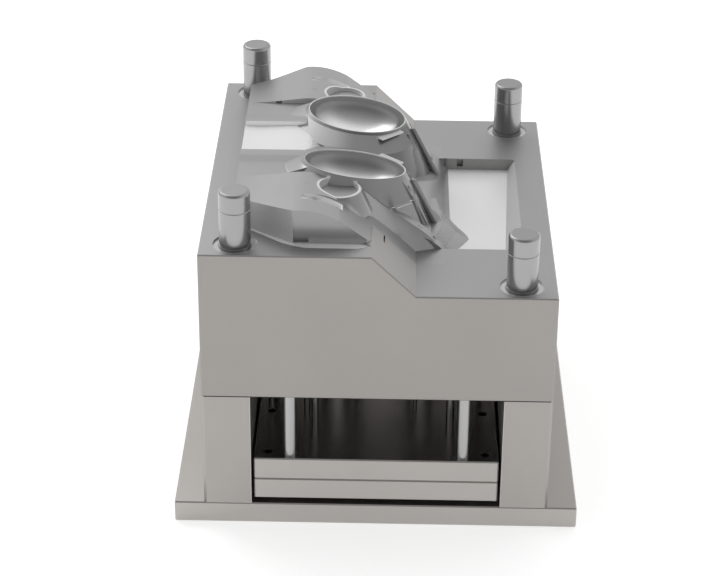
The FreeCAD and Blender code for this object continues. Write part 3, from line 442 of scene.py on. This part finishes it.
def mould_face_steel(look):
    """The moulding face: satin wings and humps, with painted shade on the upright flanks, and painted
    reflections and highlights on the mirror floors, the bowls, the bowl rims and the fins.
    """
    recipe = Recipe("mould_face_polished_steel")
    point = recipe.place()
    marks = grinding(recipe, point, FACE_GRAIN)
    patches = handling(recipe, point)
    cutter_path = recipe.noise(recipe.stretched(point, (1.0, 0.05, 0.05)), CUTTER_GRAIN, 2.0, 0.5)
    area = FaceAreas(recipe, point)
    # Painted reflection and highlight: this white paints the mirror floors, the bowl bottoms, the rims and
    # the fins.
    bright = grey(look.reflection_painted_white)

    # Painted shade: upright faces are painted a darker grey than level ones.
    colour = recipe.mixed(area.level, grey(look.flank_painted_shade_grey), grey(look.wing_grey))
    colour = recipe.mixed(area.ramp, colour, grey(look.land_grey))
    # Painted reflection: each bowl is painted from grey on its upper wall to white at its bottom.
    bowl_painted_gradient = recipe.mixed(area.bowl_bottom, grey(look.bowl_grey), bright)
    colour = recipe.mixed(area.bowl, colour, bowl_painted_gradient)
    # Painted light: the bowl's upper wall is painted up to 30 percent lighter.
    colour = recipe.tinted(colour, 1.0 + 0.3 * area.bowl_top)
    # Painted highlight: a white line round each bowl's rim.
    colour = recipe.mixed(area.rim, colour, bright)
    # Painted reflection: the window, valley, slot and ring floors and the valley wall are painted white.
    colour = recipe.mixed(area.mirror, colour, bright)
    # Painted light: the window's sloping wall is painted a pale grey.
    colour = recipe.mixed(area.window_slope, colour, grey(look.slope_wall_painted_light_grey))
    # Painted light: the front walls, the corner walls and the step beside the wing are painted lighter where
    # shade falls on them.
    lift = 0.35 * area.front_wall + 0.6 * area.corner_wall + area.hump_step
    colour = recipe.tinted(colour, 1.0 + lift)
    # Painted shade: the flank over the valley is painted up to 38 percent darker.
    colour = recipe.tinted(colour, 1.0 - 0.38 * area.valley_flank)
    # Painted highlight: the fins' top edges are painted nearly white.
    colour = recipe.mixed(area.fins * 0.9, colour, bright)

    polish = area.mirror.most(area.bowl * 0.4).most(area.rim)
    matt = area.window.most(area.valley).most(area.window_slope).most(area.slot_floor).most(area.ring)
    matt = matt.most(area.hump_step * 0.7).most(area.fins)
    matt = matt.most(area.corner_wall * 0.8).most(area.bowl_top * 0.6)
    satin = 0.30 + marks * 0.10 + 0.15 * area.tip + 0.2 * area.front_wall
    rough = recipe.blended(polish, satin * (0.45 + 0.55 * area.level), 0.09) + 0.2 * matt
    colour = recipe.tinted(colour, 0.95 + (marks * 0.04 + patches * 0.05) * (1.0 - polish))
    height = (marks * 0.5 + cutter_path * 0.5) * (1.0 - polish)
    return recipe.finish(base_color=colour, roughness=rough,
                         metallic=recipe.blended(matt, 0.45 + 0.35 * area.level - 0.35 * area.tip, 0.1),
                         normal=recipe.relief(height, MARK_HEIGHT, 0.25))


def polished_pin_steel(name, level, tip_level, roughness):
    """Hardened and ground pin steel, with faint rings from the wheel and a tip ground flat with its plate."""
    recipe = Recipe(name)
    point = recipe.place()
    rings = recipe.noise(recipe.stretched(point, (0.03, 0.03, 1.0)), PIN_GRAIN, 2.0, 0.5)
    patches = handling(recipe, point)
    _, _, up = recipe.facing()
    tip = up.rise(0.85, 0.95)
    colour = recipe.mixed(tip, grey(level), grey(tip_level))
    colour = recipe.tinted(colour, 0.95 + rings * 0.03 + patches * 0.06)
    return recipe.finish(base_color=colour, roughness=roughness + rings * 0.04 + tip * (0.42 - roughness),
                         normal=recipe.relief(rings, MARK_HEIGHT / 5, 0.06))


def retainer_steel(look):
    """The upper ejector plate: ground edges like the other plates, and a smooth oiled top face."""
    recipe = Recipe("retainer_oiled_steel")
    point = recipe.place()
    _, _, z = recipe.axes(point)
    _, _, up = recipe.facing()
    marks = grinding(recipe, point)
    patches = handling(recipe, point)
    oiled = up.rise(0.5, 0.9) * z.rise(RETAINER_TOP - 2 * MM, RETAINER_TOP - 1 * MM)
    colour = recipe.mixed(oiled, grey(look.ejector_grey, look.warmth), grey(look.oiled_grey, 2.0))
    colour = recipe.tinted(colour, 0.92 + marks * 0.05 + patches * 0.12)
    return recipe.finish(base_color=colour, roughness=0.42 - oiled * 0.22 + marks * 0.08,
                         normal=recipe.relief(marks, MARK_HEIGHT, 0.2))


def spacer_steel(look):
    """The spacer blocks: ground outside, and painted paler on the faces inside the ejector box, as painted
    light.
    """
    recipe = Recipe("spacer_ground_steel")
    point = recipe.place()
    x, _, _ = recipe.axes(point)
    marks = grinding(recipe, point)
    patches = handling(recipe, point)
    inner = abs(x).rise(SPACER_INNER + 1.5 * MM, SPACER_INNER + 0.5 * MM)
    # Painted light: the faces inside the ejector box, where shade falls, get a paler grey than the outside.
    colour = recipe.mixed(inner, grey(look.spacer_grey, look.warmth), grey(look.oiled_grey + 20, 2.0))
    colour = recipe.tinted(colour, 0.94 + marks * 0.05 + patches * 0.08)
    return recipe.finish(base_color=colour, roughness=0.4 + marks * 0.08,
                         normal=recipe.relief(marks, MARK_HEIGHT, 0.2))


def blackened_screw_steel():
    """Black-oxide screw steel with a worn bloom."""
    recipe = Recipe("blackened_screw_steel")
    point = recipe.place()
    bloom = recipe.noise(point, BLOOM_GRAIN, 4.0, 0.6)
    colour = recipe.mixed(bloom.rise(0.4, 0.8), grey(44), grey(72, 3.0))
    return recipe.finish(base_color=colour, roughness=0.34 + bloom * 0.2,
                         normal=recipe.relief(bloom, MARK_HEIGHT, 0.2))


def bush_bronze():
    """Turned guide-bush bronze with fine lathe rings."""
    recipe = Recipe("bush_bronze")
    point = recipe.place()
    rings = recipe.noise(recipe.stretched(point, (0.05, 0.05, 1.0)), BUSH_GRAIN, 2.0, 0.5)
    stain = recipe.noise(point, STAIN_GRAIN, 3.0, 0.5)
    colour = recipe.mixed(stain.rise(0.45, 0.8), BRONZE, BRONZE_STAIN)
    return recipe.finish(base_color=colour, roughness=0.28 + rings * 0.12,
                         normal=recipe.relief(rings, MARK_HEIGHT, 0.3))


def dress(names, material):
    """Gives named CAD nodes one finish."""
    for name in names:
        slots = frame["nodes"][name].material_slots
        for slot in slots:
            slot.material = material


def nodes_named(*starts):
    """The names of the CAD nodes that begin with any of the given words."""
    return sorted(name for name in frame["nodes"] if name.startswith(starts))


def new_object(name, mesh):
    """Links a new object at the origin."""
    item = bpy.data.objects.new(name, mesh)
    bpy.context.scene.collection.objects.link(item)
    return item


class NodeTree:
    """A Geometry Nodes tree with named size inputs, built step by step."""

    def __init__(self, name, sizes):
        self.tree = bpy.data.node_groups.new(name, "GeometryNodeTree")
        sockets = self.tree.interface
        sockets.new_socket("Geometry", in_out="INPUT", socket_type="NodeSocketGeometry")
        for label, (kind, value) in sizes.items():
            socket = sockets.new_socket(label, in_out="INPUT", socket_type=kind)
            socket.default_value = value
        sockets.new_socket("Geometry", in_out="OUTPUT", socket_type="NodeSocketGeometry")
        self.given = self.tree.nodes.new("NodeGroupInput")
        self.result = self.tree.nodes.new("NodeGroupOutput")

    def size(self, label):
        """The socket of a named input."""
        return self.given.outputs[label]

    def add(self, kind, settings=None, **inputs):
        """Adds a node, sets it, and feeds its inputs by name with values or sockets."""
        node = self.tree.nodes.new(kind)
        for name, value in (settings or {}).items():
            setattr(node, name, value)
        for name, value in inputs.items():
            socket = node.inputs[name.replace("_", " ")]
            if isinstance(value, bpy.types.NodeSocket):
                self.tree.links.new(value, socket)
            else:
                socket.default_value = value
        return node

    def close(self, geometry, material):
        """Realizes the instances, sets the material and links the result."""
        solid = self.add("GeometryNodeRealizeInstances", Geometry=geometry)
        painted = self.add("GeometryNodeSetMaterial", Geometry=solid.outputs[0], Material=material)
        self.tree.links.new(painted.outputs[0], self.result.inputs[0])
        return self.tree


def baked_piece(name, base_mesh, tree, sizes, material):
    """Runs a tree on a mesh, keeps the result as a plain mesh and gives it as an object at the origin."""
    holder = new_object(name + "_source", base_mesh)
    modifier = holder.modifiers.new("shape", "NODES")
    modifier.node_group = tree
    for item in tree.interface.items_tree:
        if item.item_type == "SOCKET" and item.in_out == "INPUT" and item.name in sizes:
            modifier[item.identifier] = sizes[item.name]
    graph = bpy.context.evaluated_depsgraph_get()
    mesh = bpy.data.meshes.new_from_object(holder.evaluated_get(graph))
    holder.modifiers.remove(modifier)
    bpy.data.objects.remove(holder)
    mesh.name = name
    mesh.materials.clear()
    mesh.materials.append(material)
    return new_object(name, mesh)


def points_mesh(name, places):
    """A mesh of loose points."""
    mesh = bpy.data.meshes.new(name)
    mesh.from_pydata([tuple(place) for place in places], [], [])
    return mesh


def knurl_tree(material):
    """Upright ridges in a ring round each point, as on the side of a cylinder-head screw."""
    tree = NodeTree("knurl_ring", {
        "Ring Radius": ("NodeSocketFloat", 10 * MM),
        "Ridge Height": ("NodeSocketFloat", 8 * MM),
        "Ridge Radius": ("NodeSocketFloat", 0.5 * MM),
        "Ridges": ("NodeSocketInt", 40),
    })
    circle = tree.add("GeometryNodeMeshCircle", {"fill_type": "NONE"}, Vertices=tree.size("Ridges"),
                      Radius=tree.size("Ring Radius"))
    ridge = tree.add("GeometryNodeMeshCylinder", {"fill_type": "NGON"}, Vertices=6,
                     Radius=tree.size("Ridge Radius"), Depth=tree.size("Ridge Height"))
    ring = tree.add("GeometryNodeInstanceOnPoints", Points=circle.outputs["Mesh"],
                    Instance=ridge.outputs["Mesh"])
    heads = tree.add("GeometryNodeInstanceOnPoints", Points=tree.size("Geometry"), Instance=ring.outputs[0])
    return tree.close(heads.outputs[0], material)


def thread_tree(material):
    """A helical ridge along X from each point, as the turns of a tapped hole."""
    tree = NodeTree("thread_turns", {
        "Hole Radius": ("NodeSocketFloat", 18 * MM),
        "Length": ("NodeSocketFloat", 40 * MM),
        "Turns": ("NodeSocketFloat", 10.0),
        "Ridge Radius": ("NodeSocketFloat", 1.2 * MM),
    })
    helix = tree.add("GeometryNodeCurveSpiral", Resolution=36, Rotations=tree.size("Turns"),
                     Start_Radius=tree.size("Hole Radius"), End_Radius=tree.size("Hole Radius"),
                     Height=tree.size("Length"))
    profile = tree.add("GeometryNodeCurvePrimitiveCircle", {"mode": "RADIUS"}, Resolution=6,
                       Radius=tree.size("Ridge Radius"))
    ridge = tree.add("GeometryNodeCurveToMesh", Curve=helix.outputs[0],
                     Profile_Curve=profile.outputs[0], Fill_Caps=True)
    turned = tree.add("GeometryNodeTransform", Geometry=ridge.outputs[0], Rotation=(0.0, math.pi / 2, 0.0))
    holes = tree.add("GeometryNodeInstanceOnPoints", Points=tree.size("Geometry"), Instance=turned.outputs[0])
    return tree.close(holes.outputs[0], material)


def grey_level(name, description, default):
    """A property that holds one grey of a finish."""
    return FloatProperty(name=name, description=description, default=default, min=0, max=255)


class MouldLook(bpy.types.PropertyGroup):
    """Greys of the steel finishes, as a screen shows them, from 0 to 255. Some of them are painted light,
    shade or reflection.
    """

    side_grey: grey_level("Plate sides", "Ground sides of the core plate", 158.0)
    land_grey: grey_level("Lands", "Ground parting faces", 170.0)
    clamp_grey: grey_level("Clamp plate", "Bottom clamping plate", 176.0)
    spacer_grey: grey_level("Spacers", "Spacer blocks", 166.0)
    ejector_grey: grey_level("Ejector plates", "Edges of the ejector plates", 177.0)
    wing_grey: grey_level("Wings", "Satin wings and humps", 172.0)
    # Painted shade: the darker grey of the upright faces of the moulding face.
    flank_painted_shade_grey: grey_level("Flanks", "Polished flanks and front walls", 146.0)
    bowl_grey: grey_level("Bowls", "Upper wall of the reflector bowls", 146.0)
    wall_grey: grey_level("Pocket walls", "Inner walls of the plate's pockets", 160.0)
    # Painted highlight: the bright grey of the recesses round the guide pins.
    recess_painted_highlight_grey: grey_level("Pin recesses", "Recess round each guide pin", 208.0)
    # Painted light: the pale grey of each window's sloping wall.
    slope_wall_painted_light_grey: grey_level("Window slope", "Sloping wall of each window", 205.0)
    # Painted reflection and highlight: the white of the mirror floors, the relief, the bowl bottoms, the rims
    # and the fins.
    reflection_painted_white: grey_level("Mirror floors", "Mirror-polished floors and rims", 255.0)
    pin_grey: grey_level("Guide pins", "Hardened guide pins", 162.0)
    # The spacers' inner faces take this grey 20 lighter, as painted light.
    oiled_grey: grey_level("Oiled faces", "Oiled faces in the ejector box", 182.0)
    warmth: FloatProperty(name="Warmth", description="How warm the grey of the plates is",
                          default=3.5, min=0, max=20)


class DetailSizes(bpy.types.PropertyGroup):
    """Sizes of the small machined details."""

    knurl_radius: FloatProperty(name="Knurl ridge", description="Radius of one knurl ridge",
                                default=0.45 * MM, unit="LENGTH", subtype="DISTANCE")
    knurl_count: IntProperty(name="Knurl ridges", description="Ridges round one screw head",
                             default=48, min=8)
    thread_pitch: FloatProperty(name="Thread pitch", description="Pitch of the lifting holes' thread",
                                default=4.0 * MM, unit="LENGTH", subtype="DISTANCE")
    thread_ridge: FloatProperty(name="Thread ridge", description="Radius of the thread's ridge",
                                default=1.1 * MM, unit="LENGTH", subtype="DISTANCE")


class StageSetup(bpy.types.PropertyGroup):
    """Floor, light and camera."""

    floor_radius: FloatProperty(name="Floor", description="Radius of the floor",
                                default=60.0, unit="LENGTH", subtype="DISTANCE")
    floor_colour: FloatVectorProperty(name="Floor colour", description="Plain pale floor",
                                      default=(0.9, 0.9, 0.9), subtype="COLOR", size=3)
    floor_glow: FloatProperty(name="Floor glow", description="Light that lifts the floor to white",
                              default=0.55, min=0)
    sky_level: FloatProperty(name="Sky", description="Brightness of the white surround",
                             default=1.05, min=0)
    hood_level: FloatProperty(name="Hood", description="Brightness of the surround's dim part, high in front",
                              default=0.4, min=0)
    key_power: FloatProperty(name="Key light", description="Power of the large soft light",
                             default=48.0, subtype="POWER")
    lens: FloatProperty(name="Lens", description="Focal length on a 36 mm sensor",
                        default=109.41, subtype="DISTANCE_CAMERA")


class MOULD_OT_plates(bpy.types.Operator):
    """Finishes the plates, the spacers, the pillars and the ejector plates"""

    bl_idname = "mould.plates"
    bl_label = "Plates"

    def execute(self, context):
        look = context.scene.mould_look
        dress(["core_plate"], core_plate_steel(look))
        dress(nodes_named("spacer_"), spacer_steel(look))
        dress(["clamp_plate"],
              ground_plate("clamp_plate_ground_steel", look.clamp_grey, look.warmth, 0.42))
        dress(["ejector_base_plate"],
              ground_plate("ejector_base_ground_steel", look.ejector_grey, look.warmth, 0.42))
        dress(["ejector_retainer_plate"], retainer_steel(look))
        dress(["stop_buttons", *[n for n in nodes_named("support_pillar_") if n[-1].isdigit()]],
              ground_plate("pillar_ground_steel", look.oiled_grey + 30, 2.0, 0.36))
        return {"FINISHED"}


class MOULD_OT_cores(bpy.types.Operator):
    """Finishes the two lamp cores"""

    bl_idname = "mould.cores"
    bl_label = "Lamp cores"

    def execute(self, context):
        dress(["core_insert_front", "core_insert_back"], mould_face_steel(context.scene.mould_look))
        return {"FINISHED"}


class MOULD_OT_pins(bpy.types.Operator):
    """Finishes the guide pins, return pins, ejector pins, posts, bushes and dowels"""

    bl_idname = "mould.pins"
    bl_label = "Pins and bushes"

    def execute(self, context):
        look = context.scene.mould_look
        dress(nodes_named("guide_pin_"),
              polished_pin_steel("guide_pin_steel", look.pin_grey, look.pin_grey, 0.24))
        dress(nodes_named("return_pin_"),
              polished_pin_steel("return_pin_steel", look.pin_grey + 12, look.land_grey, 0.3))
        dress(nodes_named("ejector_pin_", "ejector_guide_post_") + ["dowel_pins"],
              polished_pin_steel("ejector_pin_steel", look.pin_grey - 20, look.land_grey, 0.2))
        dress(nodes_named("ejector_guide_bush_"), bush_bronze())
        return {"FINISHED"}


class MOULD_OT_screws(bpy.types.Operator):
    """Finishes the screws and puts the knurl ridges round their heads"""

    bl_idname = "mould.screws"
    bl_label = "Screws"

    def execute(self, context):
        sizes = context.scene.mould_details
        steel = blackened_screw_steel()
        dress(["clamp_bolts", "core_insert_screws", "support_pillar_screws", "ejector_plate_screws"], steel)
        tree = knurl_tree(steel)
        for node, body, head_radius, head_height, heads_up, shift in KNURLED_HEADS:
            low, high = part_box(node)
            middle = high.z - head_height / 2 - shift if heads_up else low.z + head_height / 2 + shift
            places = [(x, y, middle) for x, y in head_centres(node)]
            piece = baked_piece(node + "_knurls", points_mesh(node + "_points", places), tree,
                                {"Ring Radius": head_radius, "Ridge Height": head_height,
                                 "Ridge Radius": sizes.knurl_radius, "Ridges": sizes.knurl_count}, steel)
            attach(piece, body)
        return {"FINISHED"}


def head_centres(node):
    """The plan centres of the separate screws in one node."""
    mesh = frame["nodes"][node].data
    work = bmesh.new()
    work.from_mesh(mesh)
    bmesh.ops.remove_doubles(work, verts=work.verts, dist=0.01 * MM)
    left = set(work.verts)
    centres = []
    while left:
        group = {left.pop()}
        waiting = list(group)
        while waiting:
            vertex = waiting.pop()
            fresh = {edge.other_vert(vertex) for edge in vertex.link_edges} - group
            group |= fresh
            waiting.extend(fresh)
        left -= group
        low_x, high_x = min(v.co.x for v in group), max(v.co.x for v in group)
        low_y, high_y = min(v.co.y for v in group), max(v.co.y for v in group)
        centres.append(((low_x + high_x) / 2, (low_y + high_y) / 2))
    work.free()
    return sorted(centres)


class MOULD_OT_lifting_threads(bpy.types.Operator):
    """Puts the thread turns in the two lifting holes"""

    bl_idname = "mould.lifting_threads"
    bl_label = "Lifting threads"

    def execute(self, context):
        sizes = context.scene.mould_details
        look = context.scene.mould_look
        steel = ground_plate("thread_steel", look.wall_grey, 0.0, 0.3)
        mounts = {mount["name"]: mount for mount in frame["record"]["mounts"]}
        hole = mounts["lifting_hole_right"]
        height = hole["pos_m"][2]
        radius = hole["dims"]["r_mm"] * MM
        length = hole["dims"]["length_mm"] * MM - 2 * sizes.thread_pitch
        edge = PLATE_HIGH.x - sizes.thread_pitch / 2
        places = [(edge - length, 0.0, height), (-edge, 0.0, height)]
        piece = baked_piece("lifting_threads", points_mesh("lifting_points", places), thread_tree(steel),
                            {"Hole Radius": radius, "Length": length, "Turns": length / sizes.thread_pitch,
                             "Ridge Radius": sizes.thread_ridge}, steel)
        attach(piece, "base")
        return {"FINISHED"}


class MOULD_OT_stage(bpy.types.Operator):
    """Makes the floor, the light and the camera"""

    bl_idname = "mould.stage"
    bl_label = "Stage"

    def execute(self, context):
        setup = context.scene.mould_stage
        make_floor(setup)
        make_surround(context.scene, setup)
        make_light("soft_key", KEY_PLACE, KEY_SIZE, setup.key_power)
        make_camera(context.scene, setup)
        context.scene.view_settings.view_transform = "Standard"
        return {"FINISHED"}


def make_floor(setup):
    """A plain pale floor, lifted to white for the camera, that keeps the object's shadow."""
    mesh = bpy.data.meshes.new("floor")
    work = bmesh.new()
    bmesh.ops.create_circle(work, cap_ends=True, segments=64, radius=setup.floor_radius)
    work.to_mesh(mesh)
    work.free()
    floor = new_object("floor", mesh)
    recipe = Recipe("pale_floor", roughness=0.9, metallic=0.0)
    rays = recipe.tree.nodes.new("ShaderNodeLightPath")
    seen = Signal(recipe, rays.outputs["Is Camera Ray"]).most(Signal(recipe, rays.outputs["Is Glossy Ray"]))
    seen = seen.most(Signal(recipe, rays.outputs["Is Transmission Ray"]))
    recipe.surface.inputs["Emission Color"].default_value = (1.0, 1.0, 1.0, 1.0)
    recipe.feed(recipe.surface.inputs["Emission Strength"], seen * setup.floor_glow)
    recipe.feed(recipe.surface.inputs["Base Color"], tuple(setup.floor_colour))
    mesh.materials.append(recipe.material)


def make_surround(scene, setup):
    """A white surround for light and reflections, with a dim hood high in front."""
    world = bpy.data.worlds.new("studio_surround")
    scene.world = world
    world.use_nodes = True
    tree = world.node_tree
    tree.nodes.clear()
    output = tree.nodes.new("ShaderNodeOutputWorld")
    background = tree.nodes.new("ShaderNodeBackground")
    tree.links.new(background.outputs[0], output.inputs["Surface"])
    place = tree.nodes.new("ShaderNodeTexCoord")
    toward = tree.nodes.new("ShaderNodeVectorMath")
    toward.operation = "DOT_PRODUCT"
    toward.inputs[1].default_value = Vector(HOOD_TOWARD).normalized()
    tree.links.new(place.outputs["Generated"], toward.inputs[0])
    fall = tree.nodes.new("ShaderNodeMapRange")
    fall.interpolation_type = "SMOOTHSTEP"
    limits = (*HOOD_EDGES, setup.sky_level, setup.hood_level)
    for name, value in zip(("From Min", "From Max", "To Min", "To Max"), limits):
        fall.inputs[name].default_value = value
    tree.links.new(toward.outputs["Value"], fall.inputs["Value"])
    tree.links.new(fall.outputs[0], background.inputs["Strength"])


def make_light(name, place, size, power):
    """A large soft square light aimed at the mould's middle."""
    data = bpy.data.lights.new(name, "AREA")
    data.size = size
    data.energy = power
    lamp = bpy.data.objects.new(name, data)
    bpy.context.scene.collection.objects.link(lamp)
    aim = Vector((0.0, 0.0, HIGH_LAND / 2)) - Vector(place)
    lamp.matrix_world = Matrix.Translation(place) @ aim.to_track_quat("-Z", "Y").to_matrix().to_4x4()


def make_camera(scene, setup):
    """The camera at the photograph's angle: high in front, a little to the right."""
    data = bpy.data.cameras.new("camera")
    data.lens = setup.lens
    data.sensor_width = SENSOR_WIDTH
    data.clip_end = CAMERA_REACH
    camera = bpy.data.objects.new("camera", data)
    scene.collection.objects.link(camera)
    yaw, pitch, roll = CAMERA_TURN
    ahead = Vector((math.sin(yaw) * math.cos(pitch), math.cos(yaw) * math.cos(pitch), -math.sin(pitch)))
    level = Vector((math.cos(yaw), -math.sin(yaw), 0.0))
    above = level.cross(ahead)
    right = level * math.cos(roll) + above * math.sin(roll)
    up = above * math.cos(roll) - level * math.sin(roll)
    turn = Matrix((right, up, -ahead)).transposed().to_4x4()
    camera.matrix_world = Matrix.Translation(CAMERA_PLACE) @ turn
    scene.camera = camera


class MOULD_PT_panel(bpy.types.Panel):
    """Lists the mould's finishing steps"""

    bl_label = "Headlamp mould"
    bl_idname = "MOULD_PT_panel"
    bl_space_type = "VIEW_3D"
    bl_region_type = "UI"
    bl_category = "Mould"

    def draw(self, context):
        for step in STEPS:
            self.layout.operator(step.bl_idname)
        for group in (context.scene.mould_look, context.scene.mould_details, context.scene.mould_stage):
            for name in group.__annotations__:
                self.layout.prop(group, name)


GROUPS = (("mould_look", MouldLook), ("mould_details", DetailSizes), ("mould_stage", StageSetup))
STEPS = (
    MOULD_OT_plates,
    MOULD_OT_cores,
    MOULD_OT_pins,
    MOULD_OT_screws,
    MOULD_OT_lifting_threads,
    MOULD_OT_stage,
)


def register():
    """Adds the property groups, the operators and the panel."""
    for name, group in GROUPS:
        bpy.utils.register_class(group)
        setattr(bpy.types.Scene, name, PointerProperty(type=group))
    for item in (*STEPS, MOULD_PT_panel):
        bpy.utils.register_class(item)


def unregister():
    """Takes away what register added."""
    for item in (MOULD_PT_panel, *reversed(STEPS)):
        bpy.utils.unregister_class(item)
    for name, group in reversed(GROUPS):
        delattr(bpy.types.Scene, name)
        bpy.utils.unregister_class(group)


def main():
    """Runs every step in order."""
    register()
    for step in STEPS:
        area, name = step.bl_idname.split(".")
        getattr(getattr(bpy.ops, area), name)()


if __name__ == "__main__":
    main()
